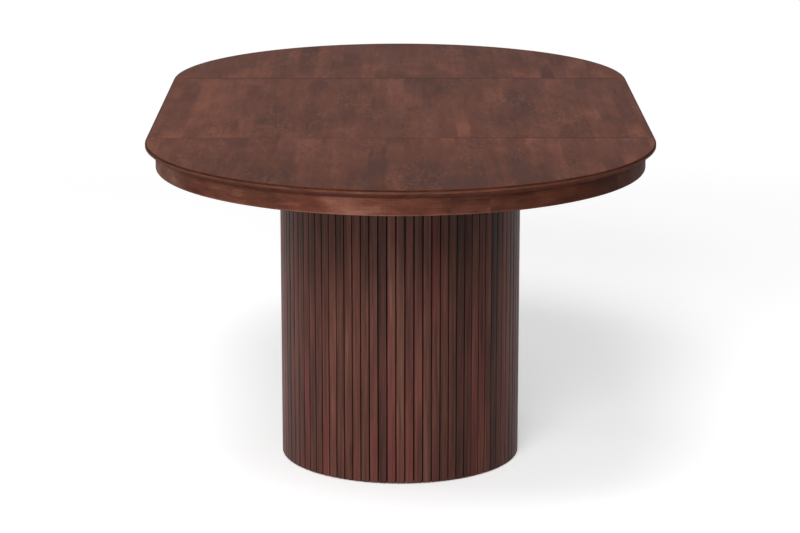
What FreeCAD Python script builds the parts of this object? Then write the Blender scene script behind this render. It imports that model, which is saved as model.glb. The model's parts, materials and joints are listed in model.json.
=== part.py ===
import FreeCAD, Part

import math
import os
import re

import Sketcher
from FreeCAD import Placement, Rotation, Vector

# Extending dining table: a slatted round drum carries two semicircular halves on geared runners.
# A loose leaf lies between the halves. Millimetres, +Z up, origin on the floor under the drum's centre.
# The table extends along Y. Each half is drawn in its own frame: y = 0 is its seam and +Y its rim.

# How many sides small turned pieces, and the holes that take them, are drawn with
SHANK_SIDES = 4
HEAD_SIDES = 6
PIN_SIDES = 8
COLLAR_SIDES = 12
RING_HOLE_SIDES = 12

# How many flats stand for the rounded edges of the top and the apron
RIM_FLATS = 2
APRON_FLATS = 1

# Driving sizes
SIZES = {
    # Top, shared by the halves and the leaf
    "top_dia": 1000,
    "leaf_long": 700,
    "table_tall": 745,
    "top_thick": 18,
    "edge_round": 3,
    "edge_face": 7,
    "lip_inset": 6,
    "lip_deep": 12,
    "seam_gap": 0.4,
    "seam_arris": 0.8,
    "leaf_clear": 0.3,
    # Apron under the top
    "apron_inset": 20,
    "apron_thick": 18,
    "apron_deep": 33.5,
    "apron_round": 3,
    # Drum
    "drum_dia": 505,
    "slat_count": 86,
    "slat_thick": 9,
    "slat_gap": 2.4,
    "slat_arris": 0.8,
    "slat_lift": 2,
    "core_thick": 6,
    "glue_gap": 0.1,
    "base_thick": 25,
    "plate_thick": 18,
    "ring_thick": 18,
    "ring_hole_dia": 150,
    "stud_count": 8,
    "stud_wide": 45,
    "stud_deep": 30,
    # What the drum stands on, and the weight in its foot
    "glide_count": 8,
    "glide_dia": 32,
    "glide_tall": 4,
    "glide_inset": 12,
    "glide_stem_dia": 5,
    "glide_stem_long": 14,
    "ballast_gap": 26,
    "ballast_thick": 10,
    "ballast_bolt_inset": 30,
    "ballast_bolt_count": 4,
    # Slides: fixed rails with tongues, and grooved runners on the halves
    "slide_space": 37,
    "rail_off": 115,
    "rail_wide": 20,
    "rail_tall": 32,
    "rail_long": 560,
    "tongue_out": 7.5,
    "tongue_tall": 10,
    "tongue_up": 16,
    "side_gap": 0.5,
    "tongue_gap": 0.3,
    "runner_wide": 26,
    "runner_tall": 33,
    "runner_end_gap": 26,
    "batten_back": 110,
    "batten_wide": 30,
    "batten_tall": 18,
    "batten_gap": 0.3,
    # Rack and pinion that keep the halves in step
    "gear_module": 3,
    "pinion_teeth": 18,
    "pressure_angle": 20,
    "backlash": 0.24,
    "gear_thick": 9,
    "gear_up": 7,
    "gear_bore_gap": 0.05,
    "gear_side_gap": 0.2,
    "rack_back": 8,
    "rack_lead_teeth": 7,
    "rack_tail": 20,
    "rack_guide_gap": 0.3,
    "rack_guide_long": 80,
    "rack_guide_wall": 12,
    "axle_dia": 10,
    "axle_head_dia": 18,
    "axle_head_tall": 4,
    "axle_nut_dia": 20,
    "axle_nut_tall": 8,
    # Stops that end the outward travel
    "travel": 45,
    "stop_pin_dia": 8,
    "stop_pin_end": 15,
    "stop_pin_deep": 12,
    "stop_pin_drop": 3,
    "dog_gap": 0.3,
    "dog_inset": 39.5,
    "dog_wide": 24,
    "dog_long": 16,
    "dog_tall": 3.6,
    # Leaf fittings
    "peg_dia": 10,
    "peg_drop": 13,
    "peg_bite": 8,
    "peg_gap": 0.3,
    "peg_apart": 400,
    "leaf_batten_off": 220,
    "leaf_batten_end": 30,
    # Glue blocks behind the aprons
    "block_long": 40,
    "block_side": 20,
    "block_spread": 500,
    "leaf_block_end": 70,
    # Screws
    "screw_dia": 4.4,
    "screw_head_dia": 9,
    "screw_head_tall": 3,
    "screw_bite": 12,
    "screw_gap": 0.1,
    "screw_sink": 4,
    "screw_end": 40,
}

# Lengths worked out from the driving sizes
WORKED = {
    "top_radius": "top_dia / 2",
    "half_off": "leaf_long / 2 + seam_gap",
    "under_top": "table_tall - top_thick",
    "under_leaf": "under_top + leaf_clear",
    "apron_radius": "top_radius - apron_inset",
    "apron_inside": "apron_radius - apron_thick",
    "drum_radius": "drum_dia / 2",
    "drum_top": "under_top - slide_space",
    "slat_wide": "2 * pi * drum_radius / slat_count - slat_gap",
    "slat_back": "drum_radius - slat_thick",
    "core_radius": "slat_back - glue_gap",
    "core_inside": "core_radius - core_thick",
    "inner_radius": "core_inside - glue_gap",
    "base_top": "glide_tall + base_thick",
    "plate_low": "drum_top - plate_thick",
    "ring_low": "(base_top + plate_low - ring_thick) / 2",
    "ring_high": "ring_low + ring_thick",
    "stud_out": "sqrt(inner_radius * inner_radius - stud_wide * stud_wide / 4)",
    "stud_mid": "stud_out - stud_deep / 2",
    "ballast_dia": "2 * (stud_out - stud_deep - ballast_gap)",
    "ballast_bolt_ring": "ballast_dia - 2 * ballast_bolt_inset",
    "glide_ring": "inner_radius - glide_inset - glide_dia / 2",
    "rail_in": "rail_off - rail_wide / 2",
    "rail_out": "rail_off + rail_wide / 2",
    "runner_low": "under_top - runner_tall",
    "tongue_low": "drum_top + tongue_up",
    "tongue_high": "tongue_low + tongue_tall",
    "groove_deep": "tongue_out + side_gap",
    "front_near": "rail_out + side_gap",
    "front_far": "front_near + runner_wide",
    "front_middle": "(front_near + groove_deep + front_far) / 2",
    "rear_far": "rail_in - side_gap",
    "rear_near": "rear_far - runner_wide",
    "rear_middle": "(rear_near + rear_far - groove_deep) / 2",
    "runner_reach": "sqrt(apron_inside * apron_inside - front_far * front_far) - runner_end_gap",
    "gear_low": "drum_top + gear_up",
    "gear_high": "gear_low + gear_thick",
    "pitch_radius": "gear_module * pinion_teeth / 2",
    "rack_pitch": "pi * gear_module",
    "rack_tip": "pitch_radius - gear_module",
    "rack_root": "pitch_radius + gear_module * 5 / 4",
    "rack_far": "rack_root + rack_back",
    "rack_first": "half_off + rack_lead_teeth * rack_pitch",
    "rack_spaces": "ceil((half_off + rack_tail) / rack_pitch) + rack_lead_teeth",
    "batten_near": "runner_reach - batten_back",
    "batten_low": "under_top - batten_tall",
    "batten_mid": "batten_near + batten_wide / 2",
    "dog_side": "front_middle + dog_wide / 2",
    "dog_near": "sqrt(inner_radius * inner_radius - dog_side * dog_side) - dog_inset - dog_long",
    "stop_rest": "dog_near - dog_gap - stop_pin_dia / 2 - travel",
    "stop_mid": "half_off - stop_rest",
    "runner_inward": "stop_mid + stop_pin_end",
    "leaf_batten_long": "leaf_long - 2 * leaf_batten_end",
    "leaf_block_step": "leaf_long / 2 - leaf_block_end",
    "screw_radius": "screw_dia / 2",
    "screw_hole": "screw_radius + screw_gap",
    "head_radius": "screw_head_dia / 2",
    "head_hole": "head_radius + screw_gap",
    "axle_hole": f"(axle_dia / 2 + gear_bore_gap) / cos(180 / {COLLAR_SIDES})",
}

doc = FreeCAD.newDocument("ExtendingDiningTable")
sheet = doc.addObject("Spreadsheet::Sheet", "Sizes")
for row, (word, size) in enumerate(SIZES.items(), 1):
    sheet.set(f"A{row}", word)
    sheet.set(f"B{row}", str(size))
    sheet.setAlias(f"B{row}", word)
doc.recompute()


def bound(formula):
    """The formula with each worked-out length opened up and each driving size read from the sheet."""

    def open_up(match):
        word = match.group(0)
        if word in WORKED:
            return f"({bound(WORKED[word])})"
        return f"Sizes.{word}" if word in SIZES else word

    return re.sub(r"[a-z_]+", open_up, formula)


def value(formula):
    """The formula's present value."""
    return float(sheet.evalExpression(bound(formula)))


def own_plane(body, role):
    return next(item for item in body.Origin.OriginFeatures if item.Role == role)


def new_body(label, height="0", half=None):
    """A body at a height, in the table's frame or in that of the front or rear half."""
    body = doc.addObject("PartDesign::Body", label)
    body.Label = label
    if half == "front":
        body.Placement = Placement(Vector(), Rotation(Vector(0, 0, 1), 180))
        body.setExpression(".Placement.Base.y", bound("-(half_off)"))
    if half == "rear":
        body.setExpression(".Placement.Base.y", bound("half_off"))
    body.setExpression(".Placement.Base.z", bound(height))
    return body


def new_sketch(body, plane, lift):
    sketch = body.newObject("Sketcher::SketchObject", f"{body.Label}_outline")
    sketch.AttachmentSupport = [(own_plane(body, plane), "")]
    sketch.MapMode = "FlatFace"
    sketch.setExpression(".AttachmentOffset.Base.z", bound(lift))
    return sketch


def hold(sketch, kind, *where, formula):
    """Adds one constraint whose size follows the formula."""
    index = sketch.addConstraint(Sketcher.Constraint(kind, *where, value(formula)))
    sketch.setExpression(f"Constraints[{index}]", bound(formula))


def closed_lines(sketch, loops):
    """Draws closed loops of straight lines, with each corner held to its pair of formulas."""
    lines = []
    joints = []
    holds = []
    for loop in loops:
        first = len(lines)
        corners = [Vector(value(x), value(y), 0) for x, y in loop]
        for index, corner in enumerate(corners):
            after = (index + 1) % len(corners)
            lines.append(Part.LineSegment(corner, corners[after]))
            joints.append(Sketcher.Constraint("Coincident", first + index, 2, first + after, 1))
            x, y = loop[index]
            holds.append((Sketcher.Constraint("DistanceX", -1, 1, first + index, 1, corner.x), x))
            holds.append((Sketcher.Constraint("DistanceY", -1, 1, first + index, 1, corner.y), y))
    sketch.addGeometry(lines)
    sketch.addConstraint(joints + [constraint for constraint, _ in holds])
    for index, (_, formula) in enumerate(holds, len(joints)):
        sketch.setExpression(f"Constraints[{index}]", bound(formula))


def outline(body, points, plane="XY_Plane", lift="0"):
    """A closed outline drawn clockwise through points given as formulas."""
    sketch = new_sketch(body, plane, lift)
    closed_lines(sketch, [points])
    return sketch


def rounds(body, places, radius, lift="0"):
    """Circles of one radius round the places, which are pairs of formulas."""
    sketch = new_sketch(body, "XY_Plane", lift)
    for index, (x, y) in enumerate(places):
        centre = Vector(value(x), value(y), 0)
        sketch.addGeometry(Part.Circle(centre, Vector(0, 0, 1), value(radius)))
        hold(sketch, "DistanceX", -1, 1, index, 3, formula=x)
        hold(sketch, "DistanceY", -1, 1, index, 3, formula=y)
        hold(sketch, "Radius", index, formula=radius)
    return sketch


def polygons(body, places, radius, sides, lift="0"):
    """Regular outlines round the places, with their corners on a circle of the radius."""
    turns = [180 * (1 - 2 * corner) / sides for corner in range(sides)]
    loops = []
    for x, y in places:
        loops.append([(f"{x} + ({radius}) * cos({turn})", f"{y} + ({radius}) * sin({turn})") for turn in turns])
    sketch = new_sketch(body, "XY_Plane", lift)
    closed_lines(sketch, loops)
    return sketch


def box_corners(low_x, high_x, low_y, high_y):
    """The four corners of a rectangle, clockwise from its upper left."""
    return [(low_x, high_y), (high_x, high_y), (high_x, low_y), (low_x, low_y)]


def feature(body, kind, profile, **settings):
    """A feature of the body from a profile; settings that are text are bound as formulas."""
    item = body.newObject(f"PartDesign::{kind}", f"{body.Label}_{kind}")
    item.Profile = profile
    for name, setting in settings.items():
        if name in ("Length", "Angle") and isinstance(setting, str):
            item.setExpression(name, bound(setting))
        else:
            setattr(item, name, setting)
    return item


def pad(body, profile, length, **settings):
    item = feature(body, "Pad", profile, Length=length, **settings)
    doc.recompute()
    return item


def pocket(body, profile, length, **settings):
    """Cuts the profile out of the body, and makes sure that it removes something."""
    before = body.Shape.Volume
    item = feature(body, "Pocket", profile, Length=length, **settings)
    doc.recompute()
    if body.Shape.Volume >= before:
        raise ValueError(f"a cut in {body.Label} removes nothing")
    return item


def half_turn(body, profile):
    """Revolves an upright profile through half a turn, on the +Y side."""
    item = feature(body, "Revolution", profile, Angle=180.0, ReferenceAxis=(profile, ["V_Axis"]))
    doc.recompute()
    return item


def ring_of(body, item, count):
    """Repeats a feature round the body's upright axis."""
    pattern = body.newObject("PartDesign::PolarPattern", f"{body.Label}_ring")
    pattern.Originals = [item]
    pattern.Axis = (own_plane(body, "Z_Axis"), [""])
    pattern.Angle = 360
    pattern.setExpression("Occurrences", bound(count))
    body.Tip = pattern
    doc.recompute()


def row_of(body, item, count, step):
    """Repeats a feature along the body's Y axis."""
    pattern = body.newObject("PartDesign::LinearPattern", f"{body.Label}_row")
    pattern.Originals = [item]
    pattern.Direction = (own_plane(body, "Y_Axis"), [""])
    pattern.setExpression("Occurrences", bound(count))
    pattern.setExpression("Length", bound(f"({count} - 1) * {step}"))
    body.Tip = pattern
    doc.recompute()


def mirrored(places):
    """The places with their mirror images across x = 0."""
    return places + [(f"-({x})", y) for x, y in places]


def both_ways(places):
    """The places with their mirror images across y = 0."""
    return places + [(x, f"-({y})") for x, y in places]


def pins(label, places, tiers, half=None):
    """Pins at the places, each in tiers given as (low, high, radius, sides)."""
    body = new_body(label, half=half)
    for low, high, radius, sides in tiers:
        pad(body, polygons(body, places, radius, sides, low), f"{high} - ({low})")
    return body


def bores(body, places, low, high, radius, sides, height="0"):
    """Holes at the places from low to high; height is that of the body's own frame."""
    profile = polygons(body, places, radius, sides, f"{high} - ({height})")
    pocket(body, profile, f"{high} - ({low})")


def shank_holes(body, places, low, high, height):
    bores(body, places, low, high, "screw_hole", SHANK_SIDES, height)


def head_holes(body, places, low, high, height):
    bores(body, places, low, high, "head_hole", HEAD_SIDES, height)


def screws(label, places, shank, head, half=None):
    """Screws whose shank and head are each given as (low, high)."""
    tiers = [(*shank, "screw_radius", SHANK_SIDES), (*head, "head_radius", HEAD_SIDES)]
    return pins(label, places, tiers, half)


def bar(label, low_x, high_x, low_y, high_y, low_z, high_z, half=None):
    """A straight bar between named limits."""
    body = new_body(label, low_z, half)
    profile = outline(body, box_corners(low_x, high_x, low_y, high_y))
    pad(body, profile, f"{high_z} - ({low_z})")
    return body


def around(radius, count, turn):
    """Places on a circle; turn is the first one's share of a step past +X."""
    places = []
    for index in range(count):
        angle = f"{360 * (index + turn) / count}"
        places.append((f"{radius} * cos({angle})", f"{radius} * sin({angle})"))
    return places


# Places that two or more pieces share
TURN_SHARE = 0.5
GLIDE_PLACES = around("glide_ring", SIZES["glide_count"], TURN_SHARE)
STUD_PLACES = around("stud_mid", SIZES["stud_count"], 0)
BALLAST_PLACES = around("ballast_bolt_ring / 2", SIZES["ballast_bolt_count"], TURN_SHARE)
RAIL_SCREWS = mirrored([("rail_off", "0")] + both_ways([("rail_off", "peg_apart / 3")]))
PEG_PLACES = mirrored(both_ways([("rail_off", "peg_apart / 2")]))
GUIDE_MID = "rack_far + rack_guide_gap + rack_guide_wall / 2"
GUIDE_SCREWS = mirrored(both_ways([(GUIDE_MID, "rack_guide_long / 4")]))
BATTEN_SCREW_OFF = "rack_far + screw_head_dia"
LEAF_BATTEN_SCREWS = mirrored(
    both_ways([("leaf_batten_off", "leaf_batten_long / 2 - screw_end")]) + [("leaf_batten_off", "0")]
)

# The runner's x limits beside the rails, on the right-hand side
RUNNER_SIDES = {"front": ("front_near", "front_far"), "rear": ("rear_near", "rear_far")}


def flats(centre_x, centre_z, radius, start, count):
    """Corners of a rounding drawn as flats, clockwise through a quarter turn from an angle."""
    turns = [start - 90 * step / count for step in range(count + 1)]
    return [(f"{centre_x} + {radius} * cos({turn})", f"{centre_z} + {radius} * sin({turn})") for turn in turns]


def edge_points(reach, thick):
    """The rim's section from the top face, round the lip, to where the apron starts."""
    rounding = flats(f"{reach} - edge_round", f"{thick} - edge_round", "edge_round", 90, RIM_FLATS)
    return rounding + [
        (f"{reach}", f"{thick} - edge_face"),
        (f"{reach} - lip_inset", f"{thick} - lip_deep"),
        (f"{reach} - apron_inset", "0"),
    ]


def apron_points(tall):
    """The apron's section, clockwise from its upper inner corner, with its lower outer edge eased."""
    easing = flats("apron_radius - apron_round", "apron_round", "apron_round", 0, APRON_FLATS)
    return [("apron_inside", tall), ("apron_radius", tall)] + easing + [("apron_inside", "0")]


def seam_cut(body, seam, thick, outward):
    """Eases the top edge along a seam; outward says which way the seam faces along y."""
    back = f"{seam} - ({outward}) * seam_arris"
    past = f"{seam} + ({outward}) * edge_round"
    wedge = [
        (back, thick),
        (back, f"{thick} + edge_round"),
        (past, f"{thick} + edge_round"),
        (past, f"{thick} - seam_arris - edge_round"),
    ]
    pocket(body, outline(body, wedge, "YZ_Plane"), "2 * top_dia", SideType="Symmetric")


# Half tops


def half_top(half):
    """A semicircular panel with its moulded rim, turned from the section of its edge."""
    body = new_body(f"{half}_top", "under_top", half)
    section = [("0", "top_thick")] + edge_points("top_radius", "top_thick") + [("0", "0")]
    half_turn(body, outline(body, section, "XZ_Plane"))
    seam_cut(body, "0", "top_thick", "-1")
    places = mirrored([(f"{half}_middle", y) for y in runner_screw_rows()]) + batten_screw_places()
    shank_holes(body, places, "under_top", "under_top + screw_bite", "under_top")
    return body


def runner_screw_rows():
    """Where the runner's screws stand along it, in the half's frame."""
    return ["screw_end", "runner_reach - screw_end"]


def batten_screw_places():
    return mirrored([(BATTEN_SCREW_OFF, "batten_mid")])


def half_apron(half):
    """The curved apron: an upright band bent round the half."""
    body = new_body(f"{half}_apron", "under_top - apron_deep", half)
    half_turn(body, outline(body, apron_points("apron_deep"), "XZ_Plane"))
    return body


def half_blocks(half):
    """Glue blocks in the corner between the curved apron and the panel, spread along the apron."""
    body = new_body(f"{half}_apron_blocks", "under_top - block_side", half)
    corner_reach = "sqrt((apron_inside - glue_gap) * (apron_inside - glue_gap) - block_long * block_long / 4)"
    corners = box_corners("-block_long / 2", "block_long / 2", f"{corner_reach} - block_side", corner_reach)
    for turn in (-1, 0, 1):
        sketch = outline(body, corners)
        angle = f"{turn} * block_spread / apron_inside * 180 / pi"
        sketch.setExpression(".AttachmentOffset.Rotation.Angle", bound(angle))
        doc.recompute()
        pad(body, sketch, "block_side")
    return body


def runner(half, side):
    """A hardwood runner, grooved along the face beside the fixed rail; side is -1 or 1."""
    near, far = RUNNER_SIDES[half]
    name = "left" if side < 0 else "right"
    body = new_body(f"{half}_runner_{name}", "runner_low", half)
    groove_low = "tongue_low - tongue_gap - (runner_low)"
    groove_high = "tongue_high + tongue_gap - (runner_low)"
    if half == "front":
        section = [
            (near, "runner_tall"),
            (far, "runner_tall"),
            (far, "0"),
            (near, "0"),
            (near, groove_low),
            (f"{near} + groove_deep", groove_low),
            (f"{near} + groove_deep", groove_high),
            (near, groove_high),
        ]
    else:
        section = [
            (near, "runner_tall"),
            (far, "runner_tall"),
            (far, groove_high),
            (f"{far} - groove_deep", groove_high),
            (f"{far} - groove_deep", groove_low),
            (far, groove_low),
            (far, "0"),
            (near, "0"),
        ]
    if side < 0:
        section = [(f"-({x})", z) for x, z in reversed(section)]
    profile = outline(body, section, "XZ_Plane", lift="-(runner_reach)")
    pad(body, profile, "runner_reach + runner_inward")
    middle = f"{side} * {half}_middle"
    places = [(middle, y) for y in runner_screw_rows()]
    head_high = "runner_low + screw_sink + screw_head_tall"
    shank_holes(body, places, head_high, "under_top", "runner_low")
    head_holes(body, places, "runner_low", head_high, "runner_low")
    stop = [(middle, "-(stop_mid)")]
    stop_high = "runner_low + stop_pin_deep"
    bores(body, stop, "runner_low", stop_high, "stop_pin_dia / 2 + glue_gap", PIN_SIDES, "runner_low")
    return body


def runner_screws(half):
    """Screws up through the runners into the panel."""
    places = mirrored([(f"{half}_middle", y) for y in runner_screw_rows()])
    head_low = "runner_low + screw_sink"
    head_high = f"{head_low} + screw_head_tall"
    tip = "under_top + screw_bite - screw_gap"
    return screws(f"{half}_runner_screws", places, (head_high, tip), (head_low, head_high), half)


def stop_pins(half):
    """Pins that hang below the runners and meet the stop dogs."""
    places = mirrored([(f"{half}_middle", "-(stop_mid)")])
    low = "runner_low - stop_pin_drop"
    high = "runner_low + stop_pin_deep - glue_gap"
    return pins(f"{half}_stop_pins", places, [(low, high, "stop_pin_dia / 2", PIN_SIDES)], half)


def cross_batten(half):
    """Ties the half's two runners together under the panel and carries the rack."""
    end = f"{half}_near - batten_gap"
    body = bar(
        f"{half}_cross_batten",
        f"-({end})",
        end,
        "batten_near",
        "batten_near + batten_wide",
        "batten_low",
        "under_top",
        half,
    )
    head_high = "batten_low + screw_head_tall"
    shank_holes(body, batten_screw_places(), head_high, "under_top", "batten_low")
    head_holes(body, batten_screw_places(), "batten_low", head_high, "batten_low")
    return body


def batten_screws(half):
    head_high = "batten_low + screw_head_tall"
    tip = "under_top + screw_bite - screw_gap"
    label = f"{half}_batten_screws"
    return screws(label, batten_screw_places(), (head_high, tip), ("batten_low", head_high), half)


# Rack and pinion


def rack(half):
    """A straight rack whose foot rises to the cross batten; one tooth space meets the pinion at rest."""
    body = new_body(f"{half}_rack", "gear_low", half)
    inner_end = "-(rack_first) - rack_pitch / 2"
    outer_end = "batten_near + batten_wide"
    pad(body, outline(body, box_corners("rack_tip", "rack_far", inner_end, outer_end)), "gear_thick")
    foot = outline(body, box_corners("rack_tip", "rack_far", "batten_near", outer_end), lift="gear_thick")
    pad(body, foot, "batten_low - (gear_high)")
    slope = "tan(pressure_angle)"
    mouth = f"rack_pitch / 4 + backlash / 4 + 2 * gear_module * {slope}"
    floor = f"rack_pitch / 4 + backlash / 4 - gear_module * 5 / 4 * {slope}"
    space = [
        ("rack_tip - gear_module", f"-(rack_first) + {mouth}"),
        ("rack_root", f"-(rack_first) + {floor}"),
        ("rack_root", f"-(rack_first) - ({floor})"),
        ("rack_tip - gear_module", f"-(rack_first) - ({mouth})"),
    ]
    cut = pocket(body, outline(body, space, lift="gear_thick"), "gear_thick")
    row_of(body, cut, "(rack_spaces)", "rack_pitch")
    return body


def involute(base, radius):
    """How far an involute has turned from its base circle at a radius, in radians."""
    pressure = math.acos(min(base / radius, 1))
    return math.tan(pressure) - pressure


def polar(radius, angle):
    return Vector(radius * math.cos(angle), radius * math.sin(angle), 0)


def pinion():
    """The spur pinion between the racks, with involute flanks and one tooth towards each rack."""
    teeth = int(value("pinion_teeth"))
    pitch = value("pitch_radius")
    base = pitch * math.cos(math.radians(value("pressure_angle")))
    tip = value("pitch_radius + gear_module")
    root = value("pitch_radius - gear_module * 5 / 4")
    half_tooth = math.pi / 2 / teeth - value("backlash") / 4 / pitch + involute(base, pitch)
    flank_shares = (0, 0.5, 1)
    flank_radii = [base + (tip - base) * share for share in flank_shares]
    corners = []
    for tooth in range(teeth):
        middle = tooth * 2 * math.pi / teeth
        corners.append(polar(root, middle - half_tooth))
        corners += [polar(radius, middle - half_tooth + involute(base, radius)) for radius in flank_radii]
        flank_down = reversed(flank_radii)
        corners += [polar(radius, middle + half_tooth - involute(base, radius)) for radius in flank_down]
        corners.append(polar(root, middle + half_tooth))
    wheel = Part.Face(Part.makePolygon(corners + corners[:1])).extrude(Vector(0, 0, value("gear_thick")))
    bore = Part.makeCylinder(value("axle_dia / 2 + gear_bore_gap"), value("gear_thick"))
    item = doc.addObject("Part::Feature", "pinion")
    item.Shape = wheel.cut(bore)
    item.Placement = Placement(Vector(0, 0, value("gear_low")), Rotation())
    return item


def pinion_axle():
    """A shoulder bolt up through the top plate, with a head that keeps the pinion on."""
    low = "plate_low - axle_nut_tall"
    head_low = "gear_high + gear_side_gap"
    body = new_body("pinion_axle")
    pad(body, rounds(body, [("0", "0")], "axle_dia / 2", low), f"{head_low} - ({low})")
    pad(body, polygons(body, [("0", "0")], "axle_head_dia / 2", COLLAR_SIDES, head_low), "axle_head_tall")
    return body


def collar(label, low, high, outer, sides):
    """A flat ring on the axle."""
    body = new_body(label, low)
    pad(body, polygons(body, [("0", "0")], outer, sides), f"{high} - ({low})")
    bores(body, [("0", "0")], low, high, "axle_hole", COLLAR_SIDES, low)
    return body


def rack_guides():
    """Blocks on the top plate that hold each rack level and in mesh."""
    body = new_body("rack_guides", "drum_top")
    wall_near = "rack_far + rack_guide_gap"
    wall_far = f"{wall_near} + rack_guide_wall"
    shelf_high = "gear_up - rack_guide_gap"
    section = [
        ("rack_root", shelf_high),
        (wall_near, shelf_high),
        (wall_near, "gear_up + gear_thick"),
        (wall_far, "gear_up + gear_thick"),
        (wall_far, "0"),
        ("rack_root", "0"),
    ]
    for side in (1, -1):
        points = section if side > 0 else [(f"-({x})", z) for x, z in reversed(section)]
        profile = outline(body, points, "XZ_Plane")
        pad(body, profile, "rack_guide_long", SideType="Symmetric")
    shank_holes(body, GUIDE_SCREWS, "drum_top", "gear_high", "drum_top")
    return body


# Pedestal


def glides():
    """Plastic discs on short stems under the base plate; the table stands on them."""
    stem_high = "glide_tall + glide_stem_long"
    foot = ("0", "glide_tall", "glide_dia / 2", PIN_SIDES)
    stem = ("glide_tall", stem_high, "glide_stem_dia / 2", SHANK_SIDES)
    return pins("glides", GLIDE_PLACES, [foot, stem])


def disc(label, low, thick, radius):
    body = new_body(label, low)
    pad(body, rounds(body, [("0", "0")], radius), thick)
    return body


def base_plate():
    body = disc("base_plate", "glide_tall", "base_thick", "inner_radius")
    stem_high = "glide_tall + glide_stem_long"
    stem_hole = "glide_stem_dia / 2 + glue_gap"
    bores(body, GLIDE_PLACES, "glide_tall", stem_high, stem_hole, SHANK_SIDES, "glide_tall")
    shank_holes(body, BALLAST_PLACES, "base_top - screw_bite", "base_top", "glide_tall")
    return body


def ballast():
    """A steel plate with one side towards each stud."""
    body = new_body("ballast_plate", "base_top")
    sides = SIZES["stud_count"]
    corner_reach = f"ballast_dia / 2 / cos(180 / {sides})"
    corners = around(corner_reach, sides, -TURN_SHARE)
    corners.reverse()
    pad(body, outline(body, corners), "ballast_thick")
    shank_holes(body, BALLAST_PLACES, "base_top", "base_top + ballast_thick", "base_top")
    return body


def screws_down(label, places, face):
    """Screws driven down into what face[0] tops, with their heads on face[1]."""
    shank = (f"{face[0]} - screw_bite + screw_gap", face[1])
    return screws(label, places, shank, (face[1], f"{face[1]} + screw_head_tall"))


def studs(label, low, high):
    """Upright studs just inside the core, one pad repeated round the drum."""
    body = new_body(label, low)
    corners = box_corners("stud_out - stud_deep", "stud_out", "-stud_wide / 2", "stud_wide / 2")
    item = pad(body, outline(body, corners), f"{high} - ({low})")
    ring_of(body, item, "stud_count")
    return body


def middle_ring():
    body = disc("middle_ring", "ring_low", "ring_thick", "inner_radius")
    bores(body, [("0", "0")], "ring_low", "ring_high", "ring_hole_dia / 2", RING_HOLE_SIDES, "ring_low")
    return body


def drum_core():
    """The bent plywood skin that the slats are glued to."""
    tall = "(drum_top - glide_tall)"
    body = disc("drum_core", "glide_tall", tall, "core_radius")
    pocket(body, rounds(body, [("0", "0")], "core_inside", tall), tall)
    return body


def drum_slats():
    """Flat slats with eased front edges, glued side by side round the core."""
    body = new_body("drum_slats", "slat_lift")
    side = "slat_wide / 2"
    points = [
        (f"-({side})", "drum_radius - slat_arris"),
        (f"-({side}) + slat_arris", "drum_radius"),
        (f"{side} - slat_arris", "drum_radius"),
        (side, "drum_radius - slat_arris"),
        (side, "slat_back"),
        (f"-({side})", "slat_back"),
    ]
    item = pad(body, outline(body, points), "drum_top - slat_lift")
    ring_of(body, item, "slat_count")
    return body


def top_plate():
    body = disc("top_plate", "plate_low", "plate_thick", "inner_radius")
    bores(body, [("0", "0")], "plate_low", "drum_top", "axle_hole", COLLAR_SIDES, "plate_low")
    head_low = "drum_top - screw_head_tall"
    shank_holes(body, STUD_PLACES, "plate_low", head_low, "plate_low")
    head_holes(body, STUD_PLACES, head_low, "drum_top", "plate_low")
    bitten = RAIL_SCREWS + GUIDE_SCREWS + dog_screw_places()
    shank_holes(body, bitten, "drum_top - screw_bite", "drum_top", "plate_low")
    return body


def stud_tops(body):
    """Blind holes for the plate's screws in the tops of the upper studs."""
    shank_holes(body, STUD_PLACES, "plate_low - screw_bite", "plate_low", "ring_high")


def plate_screws():
    head_low = "drum_top - screw_head_tall"
    tip = "plate_low - screw_bite + screw_gap"
    return screws("plate_screws", STUD_PLACES, (tip, head_low), (head_low, "drum_top"))


def centre_rail(name, side):
    """A fixed rail with a tongue along each side; it is bored for the leaf's pegs and its screws."""
    body = new_body(f"centre_rail_{name}", "drum_top")
    half_wide = "rail_wide / 2"
    tongue = f"{half_wide} + tongue_out"
    low = "tongue_up"
    high = "tongue_up + tongue_tall"
    right = [
        (half_wide, "rail_tall"),
        (half_wide, high),
        (tongue, high),
        (tongue, low),
        (half_wide, low),
        (half_wide, "0"),
    ]
    left = [(f"-({x})", z) for x, z in reversed(right)]
    section = [(f"{side} * rail_off + {x}", z) for x, z in right + left]
    profile = outline(body, section, "XZ_Plane")
    pad(body, profile, "rail_long", SideType="Symmetric")
    middle = f"{side} * rail_off"
    screw_rows = [(middle, y) for x, y in RAIL_SCREWS[:3]]
    rail_high = "drum_top + rail_tall"
    sink_low = "drum_top + screw_sink"
    shank_holes(body, screw_rows, "drum_top", sink_low, "drum_top")
    head_holes(body, screw_rows, sink_low, rail_high, "drum_top")
    pegs = [(middle, y) for y in ("peg_apart / 2", "-peg_apart / 2")]
    hole_low = "under_leaf - peg_drop - peg_gap"
    bores(body, pegs, hole_low, rail_high, "peg_dia / 2 + peg_gap", PIN_SIDES, "drum_top")
    return body


def dog_middle(half):
    """The stop dog's middle in the table's frame, on the right-hand side."""
    sign = "-" if half == "front" else ""
    return f"{half}_middle", f"{sign}(dog_near + dog_long / 2)"


def dog_screw_places():
    places = []
    for half in RUNNER_SIDES:
        places += mirrored([dog_middle(half)])
    return places


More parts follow.
